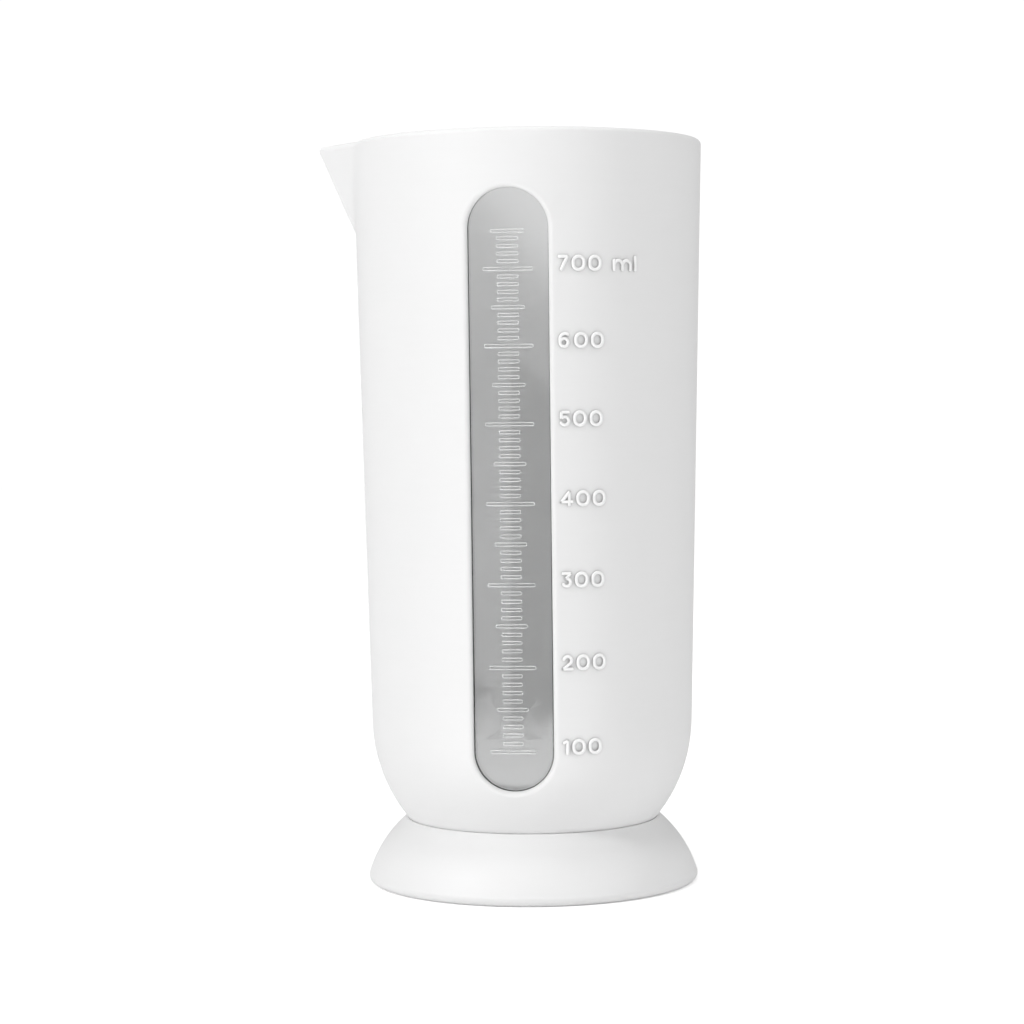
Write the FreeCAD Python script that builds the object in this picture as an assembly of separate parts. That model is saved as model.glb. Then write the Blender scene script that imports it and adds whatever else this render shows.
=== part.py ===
import math
import os

import FreeCAD, Part
from FreeCAD import Vector

# Sizes are in millimetres and heights are above the ground that the foot stands on.
# The cup's axis is Z, its spout points to -X and its measuring window faces -Y.

# Cup: a tapered tube with a bowl-shaped bottom
overall_height = 190.0
rim_radius = 44.65
wall_draft_degrees = 1.28
bowl_top_height = 41.0
bowl_base_radius = 20.53
cup_wall = 2.3
cup_base_height = 6.8
floor_thickness = 2.0
base_corner_radius = 4.0
rim_outer_round = 1.2
rim_inner_round = 0.7

# Spout: a V pulled out of the rim, with a sloping ridge
spout_beyond_rim = 10.55
spout_root_below_rim = 25.6
spout_half_angle_degrees = 49.9
spout_tip_round = 1.5
spout_channel_round = 2.0
spout_depth_inside = 20.0
spout_blend = 10.0

# Measuring window: a clear strip seated behind a rounded opening in the wall
opening_half_width = 9.83
opening_bottom_height = 27.95
opening_top_below_rim = 14.5
opening_lip_thickness = 1.2
opening_lip_edge = 0.15
window_overlap = 1.9
window_edge_clearance = 0.1

# Graduation: one raised bar every 10 ml, longer at each 50 ml and longest at each 100 ml
first_mark_ml = 100
last_mark_ml = 750
mark_step_ml = 10
middle_mark_every_ml = 50
long_mark_every_ml = 100
long_mark_length = 11.9
middle_mark_length = 8.0
short_mark_length = 5.2
mark_width = 0.85
mark_raise = 0.35
mark_edge_clearance = 0.2

# Foot: a flared ring that carries the bowl in a dished seat
foot_ground_radius = 43.1
foot_lip_height = 16.5
foot_lip_width = 0.6
foot_lip_round = 0.35
foot_flank_radius = 31.0
foot_ground_round = 1.8
foot_wall = 2.8
seat_wall = 2.0
seat_clearance = 0.1
seat_corner_relief = 1.0
foot_hollow_below_lip = 4.1
shelf_width = 5.0

# How far cutting shapes run past what they cut
overrun = 2.0

# Largest share of a wall's thickness that a round on its edge may take
round_share = 0.6

# How close a point lies to a surface that it belongs to
near = 0.001

cubic_mm_per_ml = 1000

# Steps that bring a liquid's surface to the height of its volume
surface_height_steps = 3

draft = math.radians(wall_draft_degrees)
bowl_top_radius = rim_radius - (overall_height - bowl_top_height) * math.tan(draft)

# The bowl's arc meets the tapered wall smoothly and ends at the flat base
bowl_width = bowl_top_radius - bowl_base_radius
bowl_depth = bowl_top_height - cup_base_height
bowl_bulge = bowl_width * math.cos(draft) - bowl_depth * math.sin(draft)
bowl_curve_radius = (bowl_width**2 + bowl_depth**2) / (2 * bowl_bulge)
bowl_centre_radius = bowl_top_radius - bowl_curve_radius * math.cos(draft)
bowl_centre_height = bowl_top_height + bowl_curve_radius * math.sin(draft)
floor_height = cup_base_height + floor_thickness
opening_edge_round = opening_lip_thickness - opening_lip_edge
spout_reach = rim_radius + spout_beyond_rim
spout_root_height = overall_height - spout_root_below_rim
opening_top_height = overall_height - opening_top_below_rim


def section_point(radius, height):
    return Vector(radius, 0, height)


def revolved(edges):
    """Solid turned about the cup's axis from a closed half section."""
    face = Part.Face(Part.Wire(edges))
    return face.revolve(Vector(0, 0, 0), Vector(0, 0, 1), 360)


def bowl_radius(inset, height):
    """Radius of the bowl's surface, moved inwards by inset, at a height."""
    curve = bowl_curve_radius - inset
    return bowl_centre_radius + math.sqrt(curve**2 - (bowl_centre_height - height) ** 2)


def wall_radius(inset, height):
    """Radius of the tapered wall's surface, moved inwards by inset, at a height."""
    outer = bowl_top_radius + (height - bowl_top_height) * math.tan(draft)
    return outer - inset / math.cos(draft)


def cup_form(inset, base_height, top_height):
    """Solid inside the cup's outline, moved inwards by inset."""
    curve = bowl_curve_radius - inset
    tangent_height = bowl_centre_height - curve * math.sin(draft)
    tangent = section_point(wall_radius(inset, tangent_height), tangent_height)
    base = section_point(bowl_radius(inset, base_height), base_height)
    middle_height = (base_height + tangent_height) / 2
    middle = section_point(bowl_radius(inset, middle_height), middle_height)
    top = section_point(wall_radius(inset, top_height), top_height)
    axis_base = section_point(0, base_height)
    axis_top = section_point(0, top_height)
    return revolved(
        [
            Part.makeLine(axis_base, base),
            Part.Arc(base, middle, tangent).toShape(),
            Part.makeLine(tangent, top),
            Part.makeLine(top, axis_top),
            Part.makeLine(axis_top, axis_base),
        ]
    )


def round_at(form, height, radius):
    """The form with its level edges at a height rounded."""
    edges = []
    for edge in form.Edges:
        box = edge.BoundBox
        if abs(box.ZMin - height) < near and abs(box.ZMax - height) < near:
            edges.append(edge)
    return form.makeFillet(radius, edges)


def spout_prism(inset, tip_round, top_height):
    """V-shaped prism that leans out along the spout's ridge."""
    half_angle = math.radians(spout_half_angle_degrees)
    root_radius = wall_radius(0, spout_root_height)
    lean = (spout_reach - root_radius) / (overall_height - spout_root_height)
    apex = Vector(inset / math.sin(half_angle) - root_radius, 0, spout_root_height)
    side = Vector(math.cos(half_angle), math.sin(half_angle), 0)
    mirrored_side = Vector(math.cos(half_angle), -math.sin(half_angle), 0)
    tangent_run = tip_round / math.tan(half_angle)
    back_run = spout_depth_inside / math.cos(half_angle)
    tip = apex + Vector(tip_round / math.sin(half_angle) - tip_round, 0, 0)
    start = apex + side * tangent_run
    end = apex + mirrored_side * tangent_run
    back_start = apex + side * back_run
    back_end = apex + mirrored_side * back_run
    section = Part.Wire(
        [
            Part.Arc(end, tip, start).toShape(),
            Part.makeLine(start, back_start),
            Part.makeLine(back_start, back_end),
            Part.makeLine(back_end, end),
        ]
    )
    rise = top_height - spout_root_height
    return Part.Face(section).extrude(Vector(-lean * rise, 0, rise))


def stadium_prism(first_centre, last_centre, half_width):
    """Prism with a rounded-end outline, running from the axis out through the front wall."""
    along = (last_centre - first_centre).normalize() * half_width
    across = Vector(-along.z, 0, along.x)
    outline = Part.Wire(
        [
            Part.makeLine(first_centre + across, last_centre + across),
            Part.Arc(
                last_centre + across, last_centre + along, last_centre - across
            ).toShape(),
            Part.makeLine(last_centre - across, first_centre - across),
            Part.Arc(
                first_centre - across, first_centre - along, first_centre + across
            ).toShape(),
        ]
    )
    return Part.Face(outline).extrude(Vector(0, -(rim_radius + overrun), 0))


def window_prism(margin):
    """Prism of the window opening's outline with a margin all round."""
    low_centre = section_point(0, opening_bottom_height + opening_half_width)
    high_centre = section_point(0, opening_top_height - opening_half_width)
    return stadium_prism(low_centre, high_centre, opening_half_width + margin)


def edges_between(shape, low, high, test):
    """Edges that lie between two heights and whose middle point passes a test."""
    chosen = []
    for edge in shape.Edges:
        box = edge.BoundBox
        middle = edge.valueAt((edge.FirstParameter + edge.LastParameter) / 2)
        if box.ZMin > low and box.ZMax < high and test(middle):
            chosen.append(edge)
    return chosen


def is_spout_root(point):
    """True for a point where the spout's outside meets the tapered wall."""
    on_wall = abs(math.hypot(point.x, point.y) - wall_radius(0, point.z)) < near
    off_seam = abs(point.y) < rim_radius / 2 and point.x < 0
    below_rim = point.z < overall_height - near
    return on_wall and off_seam and below_rim


def rim_loops(body):
    """Outer and inner edge loops of the flat rim."""
    rim = [face for face in body.Faces if face.BoundBox.ZMin > overall_height - near][0]
    outer = rim.OuterWire
    inner = [wire for wire in rim.Wires if not wire.isSame(outer)][0]
    return outer.Edges, inner.Edges


def is_opening_edge(point):
    """True for a point on the window opening's edge, at the outside of the wall."""
    if point.z > bowl_top_height:
        surface = wall_radius(0, point.z)
    else:
        surface = bowl_radius(0, point.z)
    on_surface = abs(math.hypot(point.x, point.y) - surface) < near
    return on_surface and point.y < 0 and abs(point.x) < opening_half_width + near


def wall_layer(outer_inset, inner_inset):
    """Curved layer of the cup's wall between two depths, from the bowl up to the rim."""
    outer = cup_form(outer_inset, floor_height, overall_height)
    return outer.cut(cup_form(inner_inset, floor_height, overall_height))


def make_cup_outside():
    cup = cup_form(0, cup_base_height, overall_height)
    cup = round_at(cup, cup_base_height, base_corner_radius)
    cup = cup.fuse(spout_prism(0, spout_tip_round, overall_height)).removeSplitter()
    spout_foot = spout_root_height - overrun
    root = edges_between(cup, spout_foot, overall_height + overrun, is_spout_root)
    return cup.makeFillet(spout_blend, root)


def make_cavity():
    top = overall_height + overrun
    cavity = cup_form(cup_wall, floor_height, top)
    cavity = round_at(cavity, floor_height, base_corner_radius)
    return cavity.fuse(spout_prism(cup_wall, spout_channel_round, top)).removeSplitter()


def make_window_seat():
    """Recess in the back of the wall that the window's border fills."""
    recess = window_prism(window_overlap + window_edge_clearance)
    return recess.common(wall_layer(opening_lip_thickness, cup_wall + overrun))


def make_jug_body(cavity):
    body = make_cup_outside().cut(cavity)
    outer_loop = rim_loops(body)[0]
    body = body.makeFillet(min(rim_outer_round, round_share * cup_wall), outer_loop)
    inner_loop = rim_loops(body)[1]
    rim_left = cup_wall - rim_outer_round
    body = body.makeFillet(min(rim_inner_round, round_share * rim_left), inner_loop)
    body = body.cut(window_prism(0))
    low = opening_bottom_height - overrun
    high = opening_top_height + overrun
    opening_edge = edges_between(body, low, high, is_opening_edge)
    body = body.makeFillet(opening_edge_round, opening_edge)
    return body.cut(make_window_seat())


def mark_length(volume_ml):
    if volume_ml % long_mark_every_ml == 0:
        return long_mark_length
    if volume_ml % middle_mark_every_ml == 0:
        return middle_mark_length
    return short_mark_length


def mark_heights(cavity):
    """Height of the liquid's surface at each marked volume."""
    heights = {}
    height = bowl_top_height
    reach = 2 * spout_reach
    corner = Vector(-reach, -reach, floor_height - overrun)
    for volume_ml in range(first_mark_ml, last_mark_ml + 1, mark_step_ml):
        for _ in range(surface_height_steps):
            block = Part.makeBox(2 * reach, 2 * reach, height - corner.z, corner)
            missing = cubic_mm_per_ml * volume_ml - cavity.common(block).Volume
            height += missing / (math.pi * wall_radius(cup_wall, height) ** 2)
        heights[volume_ml] = height
    return heights


def make_mark(volume_ml, height):
    """Prism behind one graduation bar, centred on the window's middle line."""
    half_width = mark_width / 2
    half_run = mark_length(volume_ml) / 2 - half_width
    left = section_point(-half_run, height)
    right = section_point(half_run, height)
    return stadium_prism(left, right, half_width)


def make_measuring_window(cavity):
    panel = window_prism(window_overlap).common(wall_layer(opening_lip_thickness, cup_wall))
    raised = wall_layer(opening_lip_thickness - mark_raise, opening_lip_thickness + mark_raise)
    marks = [make_mark(*reading) for reading in mark_heights(cavity).items()]
    in_view = window_prism(-opening_edge_round - mark_edge_clearance).common(raised)
    bars = in_view.common(Part.makeCompound(marks))
    return panel.fuse(bars.Solids).removeSplitter()


def flank_point(inset, height):
    """Point on the foot's curved flank, moved inwards by inset, at a height."""
    lip_radius = bowl_radius(-seat_clearance, foot_lip_height) + foot_lip_width
    ground = section_point(foot_ground_radius, 0)
    lip = section_point(lip_radius, foot_lip_height)
    chord = lip - ground
    sideways = Vector(-chord.z, 0, chord.x).normalize()
    centre_distance = math.sqrt(foot_flank_radius**2 - (chord.Length / 2) ** 2)
    centre = (ground + lip) * 0.5 + sideways * centre_distance
    curve = foot_flank_radius - inset
    return section_point(centre.x + math.sqrt(curve**2 - (height - centre.z) ** 2), height)


def flank_form(inset, base_height, top_height):
    """Solid inside the foot's flank moved inwards by inset."""
    base = flank_point(inset, base_height)
    middle = flank_point(inset, (base_height + top_height) / 2)
    top = flank_point(inset, top_height)
    axis_base = section_point(0, base_height)
    axis_top = section_point(0, top_height)
    return revolved(
        [
            Part.makeLine(axis_base, base),
            Part.Arc(base, middle, top).toShape(),
            Part.makeLine(top, axis_top),
            Part.makeLine(axis_top, axis_base),
        ]
    )


def make_foot():
    ground_round = min(foot_ground_round, round_share * foot_wall)
    lip_round = min(foot_lip_round, round_share * foot_lip_width)
    foot = round_at(flank_form(0, 0, foot_lip_height), 0, ground_round)
    foot = round_at(foot, foot_lip_height, lip_round)
    top = bowl_top_height + overrun
    seat = cup_form(-seat_clearance, cup_base_height, top)
    seat = round_at(seat, cup_base_height, base_corner_radius - seat_corner_relief)
    dish_base_height = cup_base_height - seat_wall
    dish = cup_form(-seat_clearance - seat_wall, dish_base_height, top)
    dish = round_at(dish, dish_base_height, base_corner_radius)
    hollow_top = foot_lip_height - foot_hollow_below_lip
    hollow = flank_form(foot_wall, -overrun, hollow_top).cut(dish)
    hole_radius = bowl_radius(0, cup_base_height) - shelf_width
    hole = Part.makeCylinder(hole_radius, foot_lip_height)
    return foot.cut(hollow).cut(seat).cut(hole)


cup_cavity = make_cavity()
pieces = {
    "jug_body": make_jug_body(cup_cavity),
    "measuring_window": make_measuring_window(cup_cavity),
    "foot": make_foot(),
}

os.makedirs("parts", exist_ok=True)
for name, shape in pieces.items():
    shape.exportStep(f"parts/{name}.step")
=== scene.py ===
import math

import bpy
from mathutils import Matrix, Vector


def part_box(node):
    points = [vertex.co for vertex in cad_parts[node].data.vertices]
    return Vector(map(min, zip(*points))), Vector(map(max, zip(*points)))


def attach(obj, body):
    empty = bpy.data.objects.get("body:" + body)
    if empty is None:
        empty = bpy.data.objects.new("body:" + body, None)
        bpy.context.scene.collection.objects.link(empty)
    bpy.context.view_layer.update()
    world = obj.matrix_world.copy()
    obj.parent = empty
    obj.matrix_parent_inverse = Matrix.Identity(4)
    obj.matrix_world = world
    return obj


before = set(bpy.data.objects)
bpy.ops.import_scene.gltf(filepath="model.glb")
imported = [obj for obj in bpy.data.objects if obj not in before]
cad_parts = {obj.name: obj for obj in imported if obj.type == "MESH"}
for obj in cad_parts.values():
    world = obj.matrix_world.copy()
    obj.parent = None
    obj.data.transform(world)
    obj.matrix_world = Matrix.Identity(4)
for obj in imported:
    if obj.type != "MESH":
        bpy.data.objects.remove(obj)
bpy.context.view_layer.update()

bl_info = {
    "name": "Measuring pitcher",
    "version": (1, 0, 0),
    "blender": (4, 5, 0),
    "location": "View3D > Sidebar > Pitcher",
    "description": "Gives a measuring pitcher its plastics, its raised numbers and its studio",
    "category": "Object",
}

# Units, in metres and cubic metres

MM = 0.001
ONE_ML = 0.000001

# Sizes of the cup and its window

body_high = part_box("jug_body")[1]
rim_radius = body_high.x
rim_height = body_high.z
WALL_THICKNESS = 2.3 * MM
WALL_DRAFT = math.radians(1.28)
window_low, window_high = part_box("measuring_window")
WINDOW_HALF_WIDTH = 9.83 * MM
WINDOW_OVERLAP = 1.8 * MM

# Values of the plastics

PLASTIC_IOR = 1.49
PLASTIC_SPECULAR = 0.4
GRAIN_STRENGTH = 0.6
WAVINESS_STRENGTH = 0.3
WAVE_TO_GRAIN = 6
GLOSS_SPREAD = 0.04
DARKEST_STREAK = 0.985
STREAK_SCALE = 90.0
STREAK_FLATNESS = 14
# Painted shade in creases: ambient occlusion at which the darkening is full and at which it ends,
# and the height over which it fades in
PAINTED_SHADE_DEEP = 0.45
PAINTED_SHADE_OPEN = 0.95
PAINTED_SHADE_FADE = 8 * MM
# Painted shade line along the window's edge: its softness and colour
SEAM_SHADE_SOFTNESS = 0.06 * MM
SEAM_SHADE_COLOUR = (0.02, 0.02, 0.02)
WINDOW_ROUGHNESS = 0.06
# Marks: colour of their painted edge highlight, their roughness, and how opaque the painted
# highlight is
MARK_GLINT_COLOUR = (0.97, 0.97, 0.97)
MARK_ROUGHNESS = 0.25
MARK_GLINT_OPACITY = 0.7
NUMBER_ROUGHNESS = 0.35

# Steps of the scale, in millilitres

MARK_STEP = 10
MIDDLE_MARK_EVERY = 50
LONG_MARK_EVERY = 100

# Sides and steps of the round strokes and marks

RING_SIDES = 12
MARK_SIDES = 16
ARC_STEPS_PER_TURN = 28
SMOOTH_ANGLE = math.radians(40)

# Places and sizes in the studio, in metres

BACKDROP_STRENGTH = 1.05
PITCHER_MIDDLE = Vector((0, 0, 0.1))
LEFT_PLACE = (-1.1, -0.9, 0.9)
TOP_PLACE = (-0.15, -0.7, 1.6)
RIGHT_PLACE = (1.2, -0.8, 0.6)
SMALL_SOFTBOX = (0.35, 0.35)
LARGE_SOFTBOX = (1.2, 1.2)
CARD_DISTANCE = 0.242
SENSOR_WIDTH = 36


# Settings


class PitcherFinish(bpy.types.PropertyGroup):
    """Colours and surface grain of the three plastics."""

    body_colour: bpy.props.FloatVectorProperty(
        name="Body colour",
        description="Colour of the white moulded plastic",
        subtype="COLOR",
        size=3,
        min=0,
        max=1,
        default=(0.86, 0.86, 0.86),
    )
    body_roughness: bpy.props.FloatProperty(
        name="Body roughness",
        description="Roughness of the white plastic's fine texture",
        subtype="FACTOR",
        min=0,
        max=1,
        default=0.5,
    )
    grain_size: bpy.props.FloatProperty(
        name="Grain size",
        description="Size of the fine grain that the mould leaves on the plastic",
        unit="LENGTH",
        default=0.55 * MM,
        precision=5,
    )
    grain_depth: bpy.props.FloatProperty(
        name="Grain depth",
        description="Height of the fine grain",
        unit="LENGTH",
        default=0.012 * MM,
        precision=6,
    )
    # Painted shade in creases: the next three settings darken the plastic's colour where ambient
    # occlusion finds a crease
    crease_reach: bpy.props.FloatProperty(
        name="Crease reach",
        description="How near a crease the plastic looks duller",
        unit="LENGTH",
        default=1.2 * MM,
        precision=5,
    )
    crease_start: bpy.props.FloatProperty(
        name="Crease start",
        description="Height above the ground from which creases look duller",
        unit="LENGTH",
        default=24 * MM,
        precision=4,
    )
    crease_shade: bpy.props.FloatProperty(
        name="Crease shade",
        description="Share of its brightness that the plastic keeps deep in a crease",
        subtype="FACTOR",
        min=0,
        max=1,
        default=0.68,
    )
    window_tint: bpy.props.FloatVectorProperty(
        name="Window tint",
        description="Colour that the clear plastic gives to what is seen through it",
        subtype="COLOR",
        size=3,
        min=0,
        max=1,
        default=(0.88, 0.885, 0.885),
    )
    # Painted shade: the next three settings shape the dark line of shade painted into the window
    # where it meets the opening's lip
    seam_width: bpy.props.FloatProperty(
        name="Seam width",
        description="Width at its top of the dark line where the window meets the opening's lip",
        unit="LENGTH",
        default=0.1 * MM,
        precision=5,
    )
    seam_growth: bpy.props.FloatProperty(
        name="Seam growth",
        description="How much wider the dark line is at its bottom",
        unit="LENGTH",
        default=0.17 * MM,
        precision=5,
    )
    seam_shift: bpy.props.FloatProperty(
        name="Seam shift",
        description="How much wider the dark line is at the left and below than across from there",
        unit="LENGTH",
        default=0.06 * MM,
        precision=5,
    )


class PitcherMarks(bpy.types.PropertyGroup):
    """Sizes and places of the window's raised marks."""

    first_height: bpy.props.FloatProperty(
        name="First height",
        description="Height of the lowest mark above the ground",
        unit="LENGTH",
        default=37.94 * MM,
        precision=5,
    )
    first_volume: bpy.props.IntProperty(
        name="First volume",
        description="Volume at the lowest mark, in millilitres",
        default=100,
        min=10,
        step=10,
    )
    last_volume: bpy.props.IntProperty(
        name="Last volume",
        description="Volume at the highest mark, in millilitres, with a mark at each ten",
        default=750,
        min=10,
        step=10,
    )
    long_length: bpy.props.FloatProperty(
        name="Long mark",
        description="Length of the mark at each hundred millilitres",
        unit="LENGTH",
        default=11.9 * MM,
        precision=5,
    )
    middle_length: bpy.props.FloatProperty(
        name="Middle mark",
        description="Length of the mark at each fifty millilitres",
        unit="LENGTH",
        default=8.0 * MM,
        precision=5,
    )
    short_length: bpy.props.FloatProperty(
        name="Short mark",
        description="Length of the other marks",
        unit="LENGTH",
        default=5.2 * MM,
        precision=5,
    )
    mark_width: bpy.props.FloatProperty(
        name="Mark width",
        description="Width of a mark at its foot",
        unit="LENGTH",
        default=1.0 * MM,
        precision=5,
    )
    mark_height: bpy.props.FloatProperty(
        name="Mark height",
        description="How far a mark stands out of the window",
        unit="LENGTH",
        default=0.42 * MM,
        precision=5,
    )
    # Painted highlight: the pale edge round a mark stands for the light its flanks catch
    edge_width: bpy.props.FloatProperty(
        name="Edge width",
        description="Width of the pale edge round a mark",
        unit="LENGTH",
        default=0.2 * MM,
        precision=5,
    )
    panel_depth: bpy.props.FloatProperty(
        name="Panel depth",
        description="How far the window lies behind the wall's outer surface",
        unit="LENGTH",
        default=1.2 * MM,
        precision=5,
    )


class PitcherNumbers(bpy.types.PropertyGroup):
    """Sizes and places of the raised numbers beside the window."""

    stroke_width: bpy.props.FloatProperty(
        name="Stroke width",
        description="Width of a number's round-backed stroke",
        unit="LENGTH",
        default=0.84 * MM,
        precision=5,
    )
    stroke_sink: bpy.props.FloatProperty(
        name="Stroke sink",
        description="How far the middle of a stroke lies under the wall's surface",
        unit="LENGTH",
        default=-0.3 * MM,
        precision=5,
    )
    # Painted highlight: the numbers are the cup's plastic, made paler than it to stand for the
    # light their round backs catch
    number_colour: bpy.props.FloatVectorProperty(
        name="Number colour",
        description="Colour of the numbers' smooth round backs",
        subtype="COLOR",
        size=3,
        min=0,
        max=1,
        default=(0.98, 0.98, 0.98),
    )
    gap_to_window: bpy.props.FloatProperty(
        name="Gap to window",
        description="Space along the wall from the window's visible edge to the numbers",
        unit="LENGTH",
        default=2.45 * MM,
        precision=5,
    )
    letter_gap: bpy.props.FloatProperty(
        name="Letter gap",
        description="Space between neighbouring strokes of two letters",
        unit="LENGTH",
        default=0.65 * MM,
        precision=5,
    )
    word_gap: bpy.props.FloatProperty(
        name="Word gap",
        description="Space between the number and its unit",
        unit="LENGTH",
        default=3.0 * MM,
        precision=5,
    )
    first_height: bpy.props.FloatProperty(
        name="First height",
        description="Height of the foot line of the lowest number above the ground",
        unit="LENGTH",
        default=37.2 * MM,
        precision=5,
    )
    last_volume: bpy.props.IntProperty(
        name="Last volume",
        description="Highest numbered volume, in millilitres, with a number at each hundred",
        default=700,
        min=100,
        step=100,
    )


class PitcherStudio(bpy.types.PropertyGroup):
    """The floor, the lights and the camera."""

    floor_colour: bpy.props.FloatVectorProperty(
        name="Floor colour",
        description="Colour of the plain pale floor",
        subtype="COLOR",
        size=3,
        min=0,
        max=1,
        default=(0.9, 0.9, 0.9),
    )
    floor_glow: bpy.props.FloatProperty(
        name="Floor glow",
        description="How far the floor is brightened in front of the camera",
        default=0.4,
    )
    floor_size: bpy.props.FloatProperty(
        name="Floor size",
        description="Side of the square floor",
        unit="LENGTH",
        default=6.0,
    )
    sky_strength: bpy.props.FloatProperty(
        name="Sky strength",
        description="Brightness of the even light all round",
        default=0.42,
    )
    left_power: bpy.props.FloatProperty(
        name="Left power",
        description="Power of the soft light at the left, in watts",
        default=10.35,
    )
    top_power: bpy.props.FloatProperty(
        name="Top power",
        description="Power of the soft light high at the front, in watts",
        default=1.18,
    )
    right_power: bpy.props.FloatProperty(
        name="Right power",
        description="Power of the large soft light at the right, in watts",
        default=4.85,
    )
    overhead_strength: bpy.props.FloatProperty(
        name="Overhead strength",
        description="Strength of the wide light from straight above",
        default=0.82,
    )
    overhead_spread: bpy.props.FloatProperty(
        name="Overhead spread",
        description="Angle over which the light from above spreads",
        subtype="ANGLE",
        default=math.radians(20),
    )
    card_glow: bpy.props.FloatProperty(
        name="Card glow",
        description="Power of the white cards that the window mirrors, in watts per square metre",
        default=3.0,
    )
    card_lean: bpy.props.FloatProperty(
        name="Card lean",
        description="How far the upright cards lean, which sets the mirrored edge upright",
        subtype="ANGLE",
        default=0.107,
        precision=4,
    )
    lens: bpy.props.FloatProperty(
        name="Lens",
        description="Focal length of the camera, in millimetres for a 36 mm sensor",
        default=95.284,
    )
    camera_distance: bpy.props.FloatProperty(
        name="Camera distance",
        description="Level distance from the pitcher's axis to the camera",
        unit="LENGTH",
        default=0.700037,
        precision=6,
    )
    camera_height: bpy.props.FloatProperty(
        name="Camera height",
        description="Height of the camera above the ground",
        unit="LENGTH",
        default=0.125745,
        precision=6,
    )
    camera_side: bpy.props.FloatProperty(
        name="Camera side angle",
        description="How far the camera stands round to the right of the window",
        subtype="ANGLE",
        default=0.1158,
        precision=5,
    )
    camera_turn: bpy.props.FloatProperty(
        name="Camera turn",
        description="How far the camera looks to the side of the pitcher's axis",
        subtype="ANGLE",
        default=-0.00672,
        precision=5,
    )
    camera_pitch: bpy.props.FloatProperty(
        name="Camera pitch",
        description="How far the camera looks up from the level",
        subtype="ANGLE",
        default=-0.04379,
        precision=5,
    )
    camera_roll: bpy.props.FloatProperty(
        name="Camera roll",
        description="How far the camera leans about its line of sight",
        subtype="ANGLE",
        default=-0.00948,
        precision=5,
    )


# Plastics


def node(tree, kind, x, y, **values):
    """A node at a place in the editor, with its own settings."""
    made = tree.nodes.new(kind)
    made.location = (x, y)
    for name, value in values.items():
        setattr(made, name, value)
    return made


def number_group(name, inputs, outputs):
    """A new node group that takes and gives numbers."""
    tree = bpy.data.node_groups.new(name, "ShaderNodeTree")
    for socket in inputs:
        tree.interface.new_socket(socket, in_out="INPUT", socket_type="NodeSocketFloat")
    for socket in outputs:
        tree.interface.new_socket(socket, in_out="OUTPUT", socket_type="NodeSocketFloat")
    return tree


def moulded_grain_group():
    """Fine grain and level, slow streaks of a moulded surface, as a height and a mask."""
    name = "Moulded grain"
    if name in bpy.data.node_groups:
        return bpy.data.node_groups[name]
    tree = number_group(name, ["Grain size"], ["Height", "Mottle"])
    entry = node(tree, "NodeGroupInput", -800, 0)
    place = node(tree, "ShaderNodeTexCoord", -800, -200)
    scale = node(tree, "ShaderNodeMath", -600, 0, operation="DIVIDE")
    scale.inputs[0].default_value = 1.0
    fine = node(tree, "ShaderNodeTexNoise", -400, 100)
    fine.inputs["Detail"].default_value = 2.0
    fine.inputs["Roughness"].default_value = 0.6
    level = node(tree, "ShaderNodeMapping", -600, -200)
    level.inputs["Scale"].default_value = (1, 1, STREAK_FLATNESS)
    slow = node(tree, "ShaderNodeTexNoise", -400, -200)
    slow.inputs["Scale"].default_value = STREAK_SCALE
    slow.inputs["Detail"].default_value = 4.0
    leave = node(tree, "NodeGroupOutput", 0, 0)
    link = tree.links.new
    link(entry.outputs["Grain size"], scale.inputs[1])
    link(scale.outputs[0], fine.inputs["Scale"])
    link(place.outputs["Object"], fine.inputs["Vector"])
    link(place.outputs["Object"], level.inputs["Vector"])
    link(level.outputs["Vector"], slow.inputs["Vector"])
    link(fine.outputs["Fac"], leave.inputs["Height"])
    link(slow.outputs["Fac"], leave.inputs["Mottle"])
    return tree


def dull_crease_group():
    """Painted shade: share of its brightness that a surface keeps, which ambient occlusion makes
    smaller deep in a crease above a height.
    """
    name = "Dull creases"
    if name in bpy.data.node_groups:
        return bpy.data.node_groups[name]
    tree = number_group(name, ["Reach", "Start", "Full", "Shade"], ["Kept brightness"])
    entry = node(tree, "NodeGroupInput", -900, 0)
    # Ambient occlusion, used to paint shade into the colour
    open_share = node(tree, "ShaderNodeAmbientOcclusion", -600, 250, samples=8)
    depth = node(tree, "ShaderNodeMapRange", -350, 250)
    depth.inputs["From Min"].default_value = PAINTED_SHADE_DEEP
    depth.inputs["From Max"].default_value = PAINTED_SHADE_OPEN
    depth.inputs["To Max"].default_value = 1.0
    place = node(tree, "ShaderNodeTexCoord", -900, -300)
    parts = node(tree, "ShaderNodeSeparateXYZ", -600, -300)
    above = node(tree, "ShaderNodeMapRange", -350, -200)
    kept = node(tree, "ShaderNodeMix", -100, 0)
    kept.inputs["A"].default_value = 1.0
    leave = node(tree, "NodeGroupOutput", 100, 0)
    link = tree.links.new
    link(entry.outputs["Reach"], open_share.inputs["Distance"])
    link(open_share.outputs["AO"], depth.inputs["Value"])
    link(entry.outputs["Shade"], depth.inputs["To Min"])
    link(place.outputs["Object"], parts.inputs["Vector"])
    link(parts.outputs["Z"], above.inputs["Value"])
    link(entry.outputs["Start"], above.inputs["From Min"])
    link(entry.outputs["Full"], above.inputs["From Max"])
    link(above.outputs["Result"], kept.inputs["Factor"])
    link(depth.outputs["Result"], kept.inputs["B"])
    link(kept.outputs["Result"], leave.inputs["Kept brightness"])
    return tree


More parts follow.
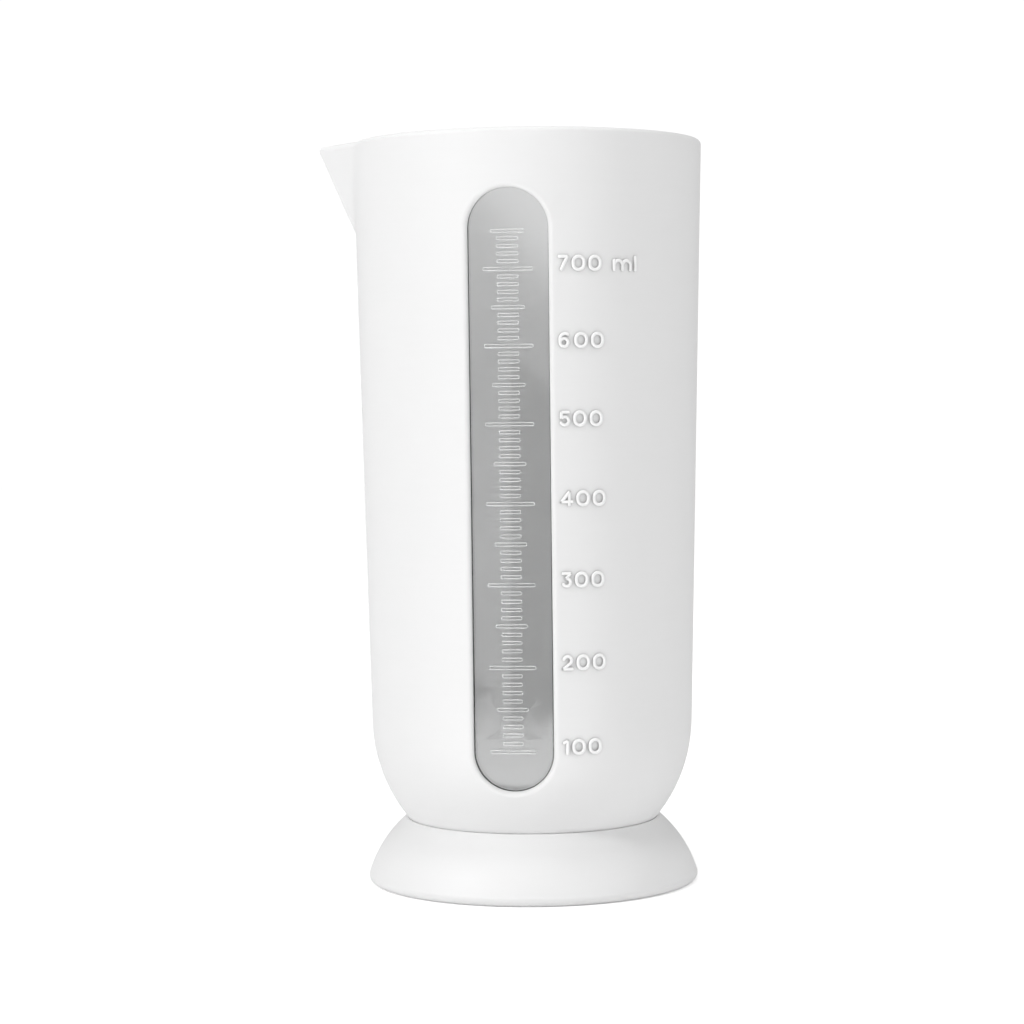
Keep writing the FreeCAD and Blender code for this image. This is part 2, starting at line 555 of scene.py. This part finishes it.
def white_plastic(name, finish, colour, roughness):
    """Matte white plastic with a fine moulded grain and faint unevenness in its gloss."""
    material = bpy.data.materials.new(name)
    material.use_nodes = True
    tree = material.node_tree
    tree.nodes.clear()
    link = tree.links.new
    out = node(tree, "ShaderNodeOutputMaterial", 600, 0)
    shader = node(tree, "ShaderNodeBsdfPrincipled", 300, 0)
    shader.inputs["IOR"].default_value = PLASTIC_IOR
    shader.inputs["Specular IOR Level"].default_value = PLASTIC_SPECULAR
    grain = node(tree, "ShaderNodeGroup", -500, 0, node_tree=moulded_grain_group())
    grain.inputs["Grain size"].default_value = finish.grain_size
    shade = node(tree, "ShaderNodeMix", -200, 200, data_type="RGBA")
    shade.inputs["A"].default_value = (*[DARKEST_STREAK * c for c in colour], 1)
    shade.inputs["B"].default_value = (*colour, 1)
    gloss = node(tree, "ShaderNodeMapRange", -200, -50)
    gloss.inputs["To Min"].default_value = roughness - GLOSS_SPREAD
    gloss.inputs["To Max"].default_value = roughness + GLOSS_SPREAD
    bump = node(tree, "ShaderNodeBump", 50, -250)
    bump.inputs["Strength"].default_value = GRAIN_STRENGTH
    bump.inputs["Distance"].default_value = finish.grain_depth
    link(grain.outputs["Mottle"], shade.inputs["Factor"])
    link(shade.outputs["Result"], shader.inputs["Base Color"])
    link(grain.outputs["Mottle"], gloss.inputs["Value"])
    link(gloss.outputs["Result"], shader.inputs["Roughness"])
    link(grain.outputs["Height"], bump.inputs["Height"])
    link(bump.outputs["Normal"], shader.inputs["Normal"])
    link(shader.outputs["BSDF"], out.inputs["Surface"])
    return material


def dull_creases(material, finish):
    """Paints shade into a white plastic's colour deep in its creases."""
    tree = material.node_tree
    link = tree.links.new
    colour = tree.nodes["Principled BSDF"].inputs["Base Color"]
    even = colour.links[0].from_socket
    crease = node(tree, "ShaderNodeGroup", -200, 450, node_tree=dull_crease_group())
    crease.inputs["Reach"].default_value = finish.crease_reach
    crease.inputs["Start"].default_value = finish.crease_start
    crease.inputs["Full"].default_value = finish.crease_start + PAINTED_SHADE_FADE
    crease.inputs["Shade"].default_value = finish.crease_shade
    painted_shaded = node(tree, "ShaderNodeMix", 100, 250, data_type="RGBA", blend_type="MULTIPLY")
    painted_shaded.inputs["Factor"].default_value = 1.0
    link(even, painted_shaded.inputs["A"])
    link(crease.outputs["Kept brightness"], painted_shaded.inputs["B"])
    link(painted_shaded.outputs["Result"], colour)


def seam_mask(tree, finish):
    """1 on the painted shade line where the clear window meets the rim of its rounded opening,
    else 0.
    """
    link = tree.links.new
    bottom = window_low.z + WINDOW_OVERLAP + WINDOW_HALF_WIDTH
    top = window_high.z - WINDOW_OVERLAP - WINDOW_HALF_WIDTH
    place = node(tree, "ShaderNodeTexCoord", -1600, 300)
    parts = node(tree, "ShaderNodeSeparateXYZ", -1400, 300)
    across = node(tree, "ShaderNodeMath", -1200, 400, operation="SUBTRACT")
    across.inputs[1].default_value = finish.seam_shift
    lifted = node(tree, "ShaderNodeMath", -1200, 200, operation="SUBTRACT")
    lifted.inputs[1].default_value = finish.seam_shift
    middle = node(tree, "ShaderNodeClamp", -1000, 100)
    middle.inputs["Min"].default_value = bottom
    middle.inputs["Max"].default_value = top
    beyond = node(tree, "ShaderNodeMath", -800, 200, operation="SUBTRACT")
    offset = node(tree, "ShaderNodeCombineXYZ", -600, 300)
    reach = node(tree, "ShaderNodeVectorMath", -400, 300, operation="LENGTH")
    growth = node(tree, "ShaderNodeMapRange", -600, 0)
    growth.inputs["From Min"].default_value = bottom
    growth.inputs["From Max"].default_value = top
    growth.inputs["To Min"].default_value = finish.seam_growth
    growth.inputs["To Max"].default_value = 0.0
    grown = node(tree, "ShaderNodeMath", -300, 150, operation="ADD")
    mask = node(tree, "ShaderNodeMapRange", -150, 300, interpolation_type="SMOOTHSTEP")
    line_start = WINDOW_HALF_WIDTH - finish.seam_width
    mask.inputs["From Min"].default_value = line_start - SEAM_SHADE_SOFTNESS
    mask.inputs["From Max"].default_value = line_start + SEAM_SHADE_SOFTNESS
    link(place.outputs["Object"], parts.inputs["Vector"])
    link(parts.outputs["X"], across.inputs[0])
    link(parts.outputs["Z"], lifted.inputs[0])
    link(lifted.outputs["Value"], middle.inputs["Value"])
    link(lifted.outputs["Value"], beyond.inputs[0])
    link(middle.outputs["Result"], beyond.inputs[1])
    link(across.outputs["Value"], offset.inputs["X"])
    link(beyond.outputs["Value"], offset.inputs["Z"])
    link(offset.outputs["Vector"], reach.inputs[0])
    link(parts.outputs["Z"], growth.inputs["Value"])
    link(reach.outputs["Value"], grown.inputs[0])
    link(growth.outputs["Result"], grown.inputs[1])
    link(grown.outputs["Value"], mask.inputs["Value"])
    return mask.outputs["Result"]


def clear_plastic(name, finish):
    """Clear plastic of the window, faintly wavy, with a painted shade line where it is set in."""
    material = bpy.data.materials.new(name)
    material.use_nodes = True
    tree = material.node_tree
    tree.nodes.clear()
    link = tree.links.new
    out = node(tree, "ShaderNodeOutputMaterial", 600, 0)
    shader = node(tree, "ShaderNodeBsdfPrincipled", 300, 0)
    shader.inputs["Roughness"].default_value = WINDOW_ROUGHNESS
    shader.inputs["IOR"].default_value = PLASTIC_IOR
    shader.inputs["Transmission Weight"].default_value = 1.0
    tint = node(tree, "ShaderNodeMix", 50, 200, data_type="RGBA")
    tint.inputs["A"].default_value = (*finish.window_tint, 1)
    tint.inputs["B"].default_value = (*SEAM_SHADE_COLOUR, 1)
    grain = node(tree, "ShaderNodeGroup", -500, 0, node_tree=moulded_grain_group())
    grain.inputs["Grain size"].default_value = WAVE_TO_GRAIN * finish.grain_size
    bump = node(tree, "ShaderNodeBump", 50, -250)
    bump.inputs["Strength"].default_value = WAVINESS_STRENGTH
    bump.inputs["Distance"].default_value = finish.grain_depth
    # The painted shade line darkens the window's tint where it meets the lip
    link(seam_mask(tree, finish), tint.inputs["Factor"])
    link(tint.outputs["Result"], shader.inputs["Base Color"])
    link(grain.outputs["Height"], bump.inputs["Height"])
    link(bump.outputs["Normal"], shader.inputs["Normal"])
    link(shader.outputs["BSDF"], out.inputs["Surface"])
    return material


def mark_plastic(name, finish):
    """Plastic of the marks, opaque white at their edges as a painted highlight of the light their
    flanks catch, and else clear.
    """
    material = white_plastic(name, finish, MARK_GLINT_COLOUR, MARK_ROUGHNESS)
    tree = material.node_tree
    link = tree.links.new
    edge = node(tree, "ShaderNodeAttribute", -200, -500, attribute_name="painted_edge_glint")
    glint_opacity = node(tree, "ShaderNodeMapRange", 50, -500)
    glint_opacity.inputs["To Min"].default_value = 0.0
    glint_opacity.inputs["To Max"].default_value = MARK_GLINT_OPACITY
    link(edge.outputs["Fac"], glint_opacity.inputs["Value"])
    link(glint_opacity.outputs["Result"], tree.nodes["Principled BSDF"].inputs["Alpha"])
    return material


def dress(cad_name, material):
    """Gives a node of the frame its finish."""
    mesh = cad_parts[cad_name].data
    mesh.materials.clear()
    mesh.materials.append(material)


# Measures on the cup


def wall_radius(height):
    """Outside radius of the cup's tapered wall at a height."""
    return rim_radius - (rim_height - height) * math.tan(WALL_DRAFT)


def level_above(height, volume):
    """Height of the liquid's level once a volume in millilitres is added above a height."""
    inner_radius = wall_radius(height) - WALL_THICKNESS
    rise = volume * ONE_ML / (math.pi * inner_radius**2)
    inner_radius += rise / 2 * math.tan(WALL_DRAFT)
    return height + volume * ONE_ML / (math.pi * inner_radius**2)


# Letters


def line(x0, z0, x1, z1):
    """Straight stroke between two points, in millimetres from a letter's lower left corner."""
    return ("line", x0, z0, x1, z1)


def arc(x, z, radius, start, turn):
    """Curved stroke about a centre, from a start angle through a clockwise turn in degrees."""
    return ("arc", x, z, radius, start, turn)


LETTER_TOP = 3.07
ARCH_TOP = 2.2
LETTERS = {
    "0": (
        line(0, 1.3, 0, 1.77),
        arc(1.36, 1.77, 1.36, 180, 180),
        line(2.72, 1.77, 2.72, 1.3),
        arc(1.36, 1.3, 1.36, 0, 180),
    ),
    "1": (
        line(0, 2.64, 0.8, LETTER_TOP),
        line(0.8, LETTER_TOP, 0.8, 0),
    ),
    "2": (
        arc(1.02, 2.09, 0.98, 160, 211),
        line(1.64, 1.33, 0, 0),
        line(0, 0, 2.12, 0),
    ),
    "3": (
        line(0.1, LETTER_TOP, 1.9, LETTER_TOP),
        line(1.9, LETTER_TOP, 0.8, 1.86),
        line(0.8, 1.86, 1.0, 1.86),
        arc(1.0, 0.93, 0.93, 90, 240),
    ),
    "4": (
        line(1.85, LETTER_TOP, 0, 0.75),
        line(0, 0.75, 2.5, 0.75),
        line(1.85, LETTER_TOP, 1.85, 0),
    ),
    "5": (
        line(1.85, LETTER_TOP, 0.15, LETTER_TOP),
        line(0.15, LETTER_TOP, 0.1, 1.6),
        line(0.1, 1.6, 0.37, 1.77),
        arc(0.93, 0.97, 0.97, 125, 275),
    ),
    "6": (
        arc(0.97, 0.96, 0.96, 180, 360),
        line(0, 0.96, 0, 1.87),
        arc(1.2, 1.87, 1.2, 180, 125),
    ),
    "7": (
        line(0, LETTER_TOP, 1.95, LETTER_TOP),
        line(1.95, LETTER_TOP, 0.5, 0),
    ),
    "m": (
        line(0, 0, 0, ARCH_TOP),
        arc(1.18, 1.02, 1.18, 180, 180),
        line(2.36, 1.02, 2.36, 0),
        arc(3.54, 1.02, 1.18, 180, 180),
        line(4.72, 1.02, 4.72, 0),
    ),
    "l": (line(0, 0, 0, LETTER_TOP),),
}

def letter_width(letter):
    """Distance between the middles of a letter's outermost upright strokes."""
    right = 0
    for kind, x, z, *rest in LETTERS[letter]:
        right = max(right, rest[0] if kind == "line" else x + rest[0])
    return right * MM


def stroke_end(place, width):
    """Round end or corner of a stroke, added to the mesh being edited."""
    bpy.ops.mesh.primitive_uv_sphere_add(
        segments=RING_SIDES, ring_count=RING_SIDES // 2, radius=width / 2, location=place
    )


def straight_stroke(origin, x0, z0, x1, z1, width):
    """Round bar between two points, with round ends."""
    start = origin + Vector((x0, 0, z0)) * MM
    end = origin + Vector((x1, 0, z1)) * MM
    run = end - start
    bpy.ops.mesh.primitive_cylinder_add(
        vertices=RING_SIDES,
        radius=width / 2,
        depth=run.length,
        end_fill_type="NOTHING",
        location=(start + end) / 2,
        rotation=(0, math.atan2(run.x, run.z), 0),
    )
    stroke_end(start, width)
    stroke_end(end, width)


def curved_stroke(origin, x, z, radius, start, turn, width):
    """Round bar swept about a centre, with round ends."""
    centre = origin + Vector((x, 0, z)) * MM
    for degrees in (start, start - turn):
        angle = math.radians(degrees)
        place = centre + Vector((math.cos(angle), 0, math.sin(angle))) * radius * MM
        stroke_end(place, width)
    angle = math.radians(start)
    bpy.ops.mesh.primitive_circle_add(
        vertices=RING_SIDES,
        radius=width / 2,
        location=centre + Vector((math.cos(angle), 0, math.sin(angle))) * radius * MM,
        rotation=(0, math.pi - angle, 0),
    )
    bpy.ops.mesh.spin(
        steps=round(ARC_STEPS_PER_TURN * turn / 360),
        angle=-math.radians(turn),
        center=centre,
        axis=(0, 1, 0),
    )


def write_flat(text, numbers, height):
    """A word of round strokes in the XZ plane, with its left edge at the numbers' left edge."""
    width = numbers.stroke_width
    cursor = WINDOW_HALF_WIDTH + numbers.gap_to_window + width / 2
    bpy.ops.object.select_all(action="DESELECT")
    bpy.ops.mesh.primitive_uv_sphere_add(
        segments=RING_SIDES, ring_count=RING_SIDES // 2, radius=width / 2
    )
    word = bpy.context.active_object
    bpy.ops.object.mode_set(mode="EDIT")
    bpy.ops.mesh.select_all(action="SELECT")
    bpy.ops.mesh.delete(type="VERT")
    for letter in text:
        if letter == " ":
            cursor += numbers.word_gap - numbers.letter_gap
            continue
        origin = Vector((cursor, 0, height + width / 2))
        for kind, *shape in LETTERS[letter]:
            stroke = straight_stroke if kind == "line" else curved_stroke
            stroke(origin, *shape, width)
        cursor += letter_width(letter) + width + numbers.letter_gap
    bpy.ops.mesh.select_all(action="SELECT")
    bpy.ops.mesh.normals_make_consistent(inside=False)
    bpy.ops.object.mode_set(mode="OBJECT")
    bpy.ops.object.shade_smooth()
    return word


def lay_on_wall(flat, sink, height):
    """Wraps a flat shape round the cup, this far under the wall's outer surface."""
    middle_radius = wall_radius(height) - sink
    for vertex in flat.data.vertices:
        along, off, up = vertex.co
        radius = wall_radius(up) - sink - off
        angle = along / middle_radius
        vertex.co = (radius * math.sin(angle), -radius * math.cos(angle), up)


# Marks


def select_facing(piece, direction):
    """Selects in edit mode only the faces of a piece that face a direction."""
    nearly_along = 0.99
    bpy.ops.object.mode_set(mode="EDIT")
    bpy.ops.mesh.select_mode(type="FACE")
    bpy.ops.mesh.select_all(action="DESELECT")
    bpy.ops.object.mode_set(mode="OBJECT")
    for polygon in piece.data.polygons:
        polygon.select = polygon.normal.dot(direction) > nearly_along
    bpy.ops.object.mode_set(mode="EDIT")


def flat_mark(marks):
    """One mark without length in the XZ plane, sloped at its sides and almost flat on top."""
    bury = 0.1 * MM
    under_surface = 0.01 * MM
    side_run, shoulder_run, last_run = 0.04 * MM, 0.06 * MM, 0.02 * MM
    edge_run = marks.edge_width - side_run - shoulder_run
    runs_and_rises = ((side_run, 0.8), (shoulder_run, 0.12), (edge_run, 0.05), (last_run, 0.03))
    top_share = 0.97
    bpy.ops.object.select_all(action="DESELECT")
    bpy.ops.mesh.primitive_cylinder_add(
        vertices=MARK_SIDES,
        radius=marks.mark_width / 2,
        depth=bury,
        location=(0, bury / 2 + under_surface, 0),
        rotation=(math.pi / 2, math.pi / MARK_SIDES, 0),
    )
    mark = bpy.context.active_object
    bpy.ops.object.transform_apply(location=True, rotation=True, scale=True)
    select_facing(mark, Vector((0, -1, 0)))
    for run, rise in runs_and_rises:
        bpy.ops.mesh.inset(thickness=run, depth=rise * marks.mark_height)
    bpy.ops.object.mode_set(mode="OBJECT")
    # The white edges of a mark are a painted highlight; its flat top and buried foot stay clear
    glint_share = mark.data.attributes.new("painted_edge_glint", "FLOAT", "POINT")
    for vertex, value in zip(mark.data.vertices, glint_share.data):
        inner = -vertex.co.y > top_share * marks.mark_height
        buried = vertex.co.y > bury
        value.value = 0.0 if inner or buried else 1.0
    return mark


def place_mark(mark, length, width, height):
    """A copy of the mark, stretched to a length and lifted to a height."""
    copy = mark.copy()
    copy.data = mark.data.copy()
    bpy.context.collection.objects.link(copy)
    for vertex in copy.data.vertices:
        vertex.co.x += math.copysign((length - width) / 2, vertex.co.x)
        vertex.co.z += height
    return copy


# Studio


def floor_paint(studio):
    """Pale floor that gives back a soft light and shows as white as the backdrop."""
    material = bpy.data.materials.new("Floor paint")
    material.use_nodes = True
    tree = material.node_tree
    shader = tree.nodes["Principled BSDF"]
    shader.inputs["Base Color"].default_value = (*studio.floor_colour, 1)
    shader.inputs["Roughness"].default_value = 0.9
    shader.inputs["Specular IOR Level"].default_value = 0.1
    shader.inputs["Emission Color"].default_value = (1, 1, 1, 1)
    rays = node(tree, "ShaderNodeLightPath", -400, -200)
    glow = node(tree, "ShaderNodeMath", -200, -200, operation="MULTIPLY")
    glow.inputs[1].default_value = studio.floor_glow
    tree.links.new(rays.outputs["Is Camera Ray"], glow.inputs[0])
    tree.links.new(glow.outputs["Value"], shader.inputs["Emission Strength"])
    return material


def light_sky(scene, studio):
    """Even light from all round, in front of a plain white backdrop."""
    world = bpy.data.worlds.new("Studio sky")
    world.use_nodes = True
    tree = world.node_tree
    tree.nodes.clear()
    out = node(tree, "ShaderNodeOutputWorld", 400, 0)
    background = node(tree, "ShaderNodeBackground", 200, 0)
    background.inputs["Color"].default_value = (1, 1, 1, 1)
    rays = node(tree, "ShaderNodeLightPath", -200, 0)
    strength = node(tree, "ShaderNodeMix", 0, 0)
    strength.inputs["A"].default_value = studio.sky_strength
    strength.inputs["B"].default_value = BACKDROP_STRENGTH
    tree.links.new(rays.outputs["Is Camera Ray"], strength.inputs["Factor"])
    tree.links.new(strength.outputs["Result"], background.inputs["Strength"])
    tree.links.new(background.outputs["Background"], out.inputs["Surface"])
    scene.world = world


def overhead_light(studio):
    """A wide soft light from straight above."""
    bpy.ops.object.select_all(action="DESELECT")
    bpy.ops.object.light_add(type="SUN", location=(0, 0, 2))
    light = bpy.context.active_object
    light.name = "overhead_light"
    light.data.energy = studio.overhead_strength
    light.data.angle = studio.overhead_spread


def soft_light(name, place, size, power):
    """A rectangular soft light that looks at the middle of the pitcher."""
    bpy.ops.object.select_all(action="DESELECT")
    turn = (PITCHER_MIDDLE - Vector(place)).to_track_quat("-Z", "Y").to_euler()
    bpy.ops.object.light_add(type="AREA", location=place, rotation=turn)
    light = bpy.context.active_object
    light.name = name
    light.data.shape = "RECTANGLE"
    light.data.size, light.data.size_y = size
    light.data.energy = power


def white_card(name, place, turn, size, glow):
    """A small white card before the window, which lights nothing and is only mirrored in it."""
    bpy.ops.object.select_all(action="DESELECT")
    bpy.ops.object.light_add(type="AREA", location=place, rotation=turn)
    card = bpy.context.active_object
    card.name = name
    card.data.shape = "RECTANGLE"
    card.data.size, card.data.size_y = size
    card.data.energy = glow * size[0] * size[1]
    card.visible_camera = False
    card.visible_diffuse = False


def add_cards(studio):
    """Two upright cards and one that lies on the floor, all before the window."""
    glow = studio.card_glow
    upright = (math.pi / 2, studio.card_lean, 0)
    white_card(
        "left_card",
        place=(-0.154, -CARD_DISTANCE, 0.085),
        turn=upright,
        size=(0.26, 0.126),
        glow=1.2 * glow,
    )
    white_card(
        "upper_card",
        place=(-0.03, -CARD_DISTANCE, 0.236),
        turn=upright,
        size=(0.52, 0.21),
        glow=1.25 * glow,
    )
    white_card(
        "lower_card",
        place=(-0.04, -0.18, 0.001),
        turn=(math.pi, 0, 0),
        size=(0.4, 0.23),
        glow=2.8 * glow,
    )


def aim_camera(context, studio):
    """Camera at the photograph's viewing angle."""
    distance, side = studio.camera_distance, studio.camera_side
    place = Vector((distance * math.sin(side), -distance * math.cos(side), studio.camera_height))
    heading = side - studio.camera_turn
    pitch = studio.camera_pitch
    forward = Vector(
        (
            -math.sin(heading) * math.cos(pitch),
            math.cos(heading) * math.cos(pitch),
            math.sin(pitch),
        )
    )
    level_right = Vector((math.cos(heading), math.sin(heading), 0))
    level_up = level_right.cross(forward)
    roll = studio.camera_roll
    right = math.cos(roll) * level_right + math.sin(roll) * level_up
    up = math.cos(roll) * level_up - math.sin(roll) * level_right
    turn = Matrix((right, up, -forward)).transposed().to_euler()
    bpy.ops.object.camera_add(location=place, rotation=turn)
    camera = context.active_object
    camera.name = "photo_camera"
    camera.data.sensor_width = SENSOR_WIDTH
    camera.data.lens = studio.lens
    context.scene.camera = camera


# Operators


class PITCHER_OT_finish_body(bpy.types.Operator):
    """Gives the cup its matte white plastic"""

    bl_idname = "pitcher.finish_body"
    bl_label = "Finish the cup"

    def execute(self, context):
        finish = context.scene.pitcher_finish
        plastic = white_plastic("White plastic", finish, finish.body_colour, finish.body_roughness)
        # Painted shade darkens the cup's colour in its creases
        dull_creases(plastic, finish)
        dress("jug_body", plastic)
        return {"FINISHED"}


class PITCHER_OT_finish_foot(bpy.types.Operator):
    """Gives the foot its matte white plastic"""

    bl_idname = "pitcher.finish_foot"
    bl_label = "Finish the foot"

    def execute(self, context):
        finish = context.scene.pitcher_finish
        plastic = white_plastic("Foot plastic", finish, finish.body_colour, finish.body_roughness)
        dress("foot", plastic)
        return {"FINISHED"}


class PITCHER_OT_finish_window(bpy.types.Operator):
    """Gives the measuring window its clear plastic"""

    bl_idname = "pitcher.finish_window"
    bl_label = "Finish the window"

    def execute(self, context):
        dress("measuring_window", clear_plastic("Clear plastic", context.scene.pitcher_finish))
        return {"FINISHED"}


class PITCHER_OT_add_marks(bpy.types.Operator):
    """Adds the raised marks of the measuring scale to the window"""

    bl_idname = "pitcher.add_marks"
    bl_label = "Add the marks"

    def execute(self, context):
        marks = context.scene.pitcher_marks
        mark = flat_mark(marks)
        height = marks.first_height
        for volume in range(marks.first_volume, marks.last_volume + 1, MARK_STEP):
            length = marks.short_length
            if volume % LONG_MARK_EVERY == 0:
                length = marks.long_length
            elif volume % MIDDLE_MARK_EVERY == 0:
                length = marks.middle_length
            place_mark(mark, length, marks.mark_width, height).select_set(True)
            height = level_above(height, MARK_STEP)
        bpy.data.objects.remove(mark)
        context.view_layer.objects.active = context.selected_objects[0]
        bpy.ops.object.join()
        scale = context.active_object
        lay_on_wall(scale, marks.panel_depth, (marks.first_height + height) / 2)
        bpy.ops.object.shade_smooth_by_angle(angle=SMOOTH_ANGLE)
        scale.name = "window_marks"
        scale.data.materials.append(mark_plastic("Mark plastic", context.scene.pitcher_finish))
        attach(scale, "root")
        return {"FINISHED"}


class PITCHER_OT_add_numbers(bpy.types.Operator):
    """Adds the raised numbers beside the window's long marks"""

    bl_idname = "pitcher.add_numbers"
    bl_label = "Add the numbers"

    def execute(self, context):
        numbers = context.scene.pitcher_numbers
        finish = context.scene.pitcher_finish
        # The numbers' paler colour is a painted highlight
        plastic = white_plastic("Number plastic", finish, numbers.number_colour, NUMBER_ROUGHNESS)
        # Painted shade darkens the colour round the numbers' feet
        dull_creases(plastic, finish)
        height = numbers.first_height
        for volume in range(LONG_MARK_EVERY, numbers.last_volume + 1, LONG_MARK_EVERY):
            text = f"{volume} ml" if volume == numbers.last_volume else str(volume)
            word = write_flat(text, numbers, height)
            lay_on_wall(word, numbers.stroke_sink, height)
            word.name = f"number_{volume}"
            word.data.materials.append(plastic)
            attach(word, "root")
            height = level_above(height, LONG_MARK_EVERY)
        return {"FINISHED"}


class PITCHER_OT_set_studio(bpy.types.Operator):
    """Adds the floor, the soft lights and the camera"""

    bl_idname = "pitcher.set_studio"
    bl_label = "Set the studio"

    def execute(self, context):
        studio = context.scene.pitcher_studio
        bpy.ops.object.select_all(action="DESELECT")
        bpy.ops.mesh.primitive_plane_add(size=studio.floor_size)
        floor = context.active_object
        floor.name = "floor"
        floor.data.materials.append(floor_paint(studio))
        light_sky(context.scene, studio)
        soft_light("left_softbox", LEFT_PLACE, SMALL_SOFTBOX, studio.left_power)
        soft_light("top_softbox", TOP_PLACE, SMALL_SOFTBOX, studio.top_power)
        soft_light("right_softbox", RIGHT_PLACE, LARGE_SOFTBOX, studio.right_power)
        overhead_light(studio)
        add_cards(studio)
        aim_camera(context, studio)
        context.scene.view_settings.view_transform = "Standard"
        return {"FINISHED"}


# Panel and start


class PITCHER_PT_panel(bpy.types.Panel):
    """Lists the pitcher's finishes and pieces"""

    bl_idname = "PITCHER_PT_panel"
    bl_label = "Measuring pitcher"
    bl_space_type = "VIEW_3D"
    bl_region_type = "UI"
    bl_category = "Pitcher"

    def draw(self, context):
        for group, operators in PANEL_PARTS:
            settings = getattr(context.scene, group)
            box = self.layout.box()
            for name in settings.bl_rna.properties.keys():
                if name not in ("rna_type", "name"):
                    box.prop(settings, name)
            for operator in operators:
                box.operator(operator)


PANEL_PARTS = (
    (
        "pitcher_finish",
        ("pitcher.finish_body", "pitcher.finish_foot", "pitcher.finish_window"),
    ),
    ("pitcher_marks", ("pitcher.add_marks",)),
    ("pitcher_numbers", ("pitcher.add_numbers",)),
    ("pitcher_studio", ("pitcher.set_studio",)),
)

CLASSES = (
    PitcherFinish,
    PitcherMarks,
    PitcherNumbers,
    PitcherStudio,
    PITCHER_OT_finish_body,
    PITCHER_OT_finish_foot,
    PITCHER_OT_finish_window,
    PITCHER_OT_add_marks,
    PITCHER_OT_add_numbers,
    PITCHER_OT_set_studio,
    PITCHER_PT_panel,
)


def register():
    for each in CLASSES:
        bpy.utils.register_class(each)
    bpy.types.Scene.pitcher_finish = bpy.props.PointerProperty(type=PitcherFinish)
    bpy.types.Scene.pitcher_marks = bpy.props.PointerProperty(type=PitcherMarks)
    bpy.types.Scene.pitcher_numbers = bpy.props.PointerProperty(type=PitcherNumbers)
    bpy.types.Scene.pitcher_studio = bpy.props.PointerProperty(type=PitcherStudio)


def unregister():
    del bpy.types.Scene.pitcher_studio
    del bpy.types.Scene.pitcher_numbers
    del bpy.types.Scene.pitcher_marks
    del bpy.types.Scene.pitcher_finish
    for each in reversed(CLASSES):
        bpy.utils.unregister_class(each)


def main():
    register()
    bpy.ops.pitcher.finish_body()
    bpy.ops.pitcher.finish_foot()
    bpy.ops.pitcher.finish_window()
    bpy.ops.pitcher.add_marks()
    bpy.ops.pitcher.add_numbers()
    bpy.ops.pitcher.set_studio()


if __name__ == "__main__":
    main()
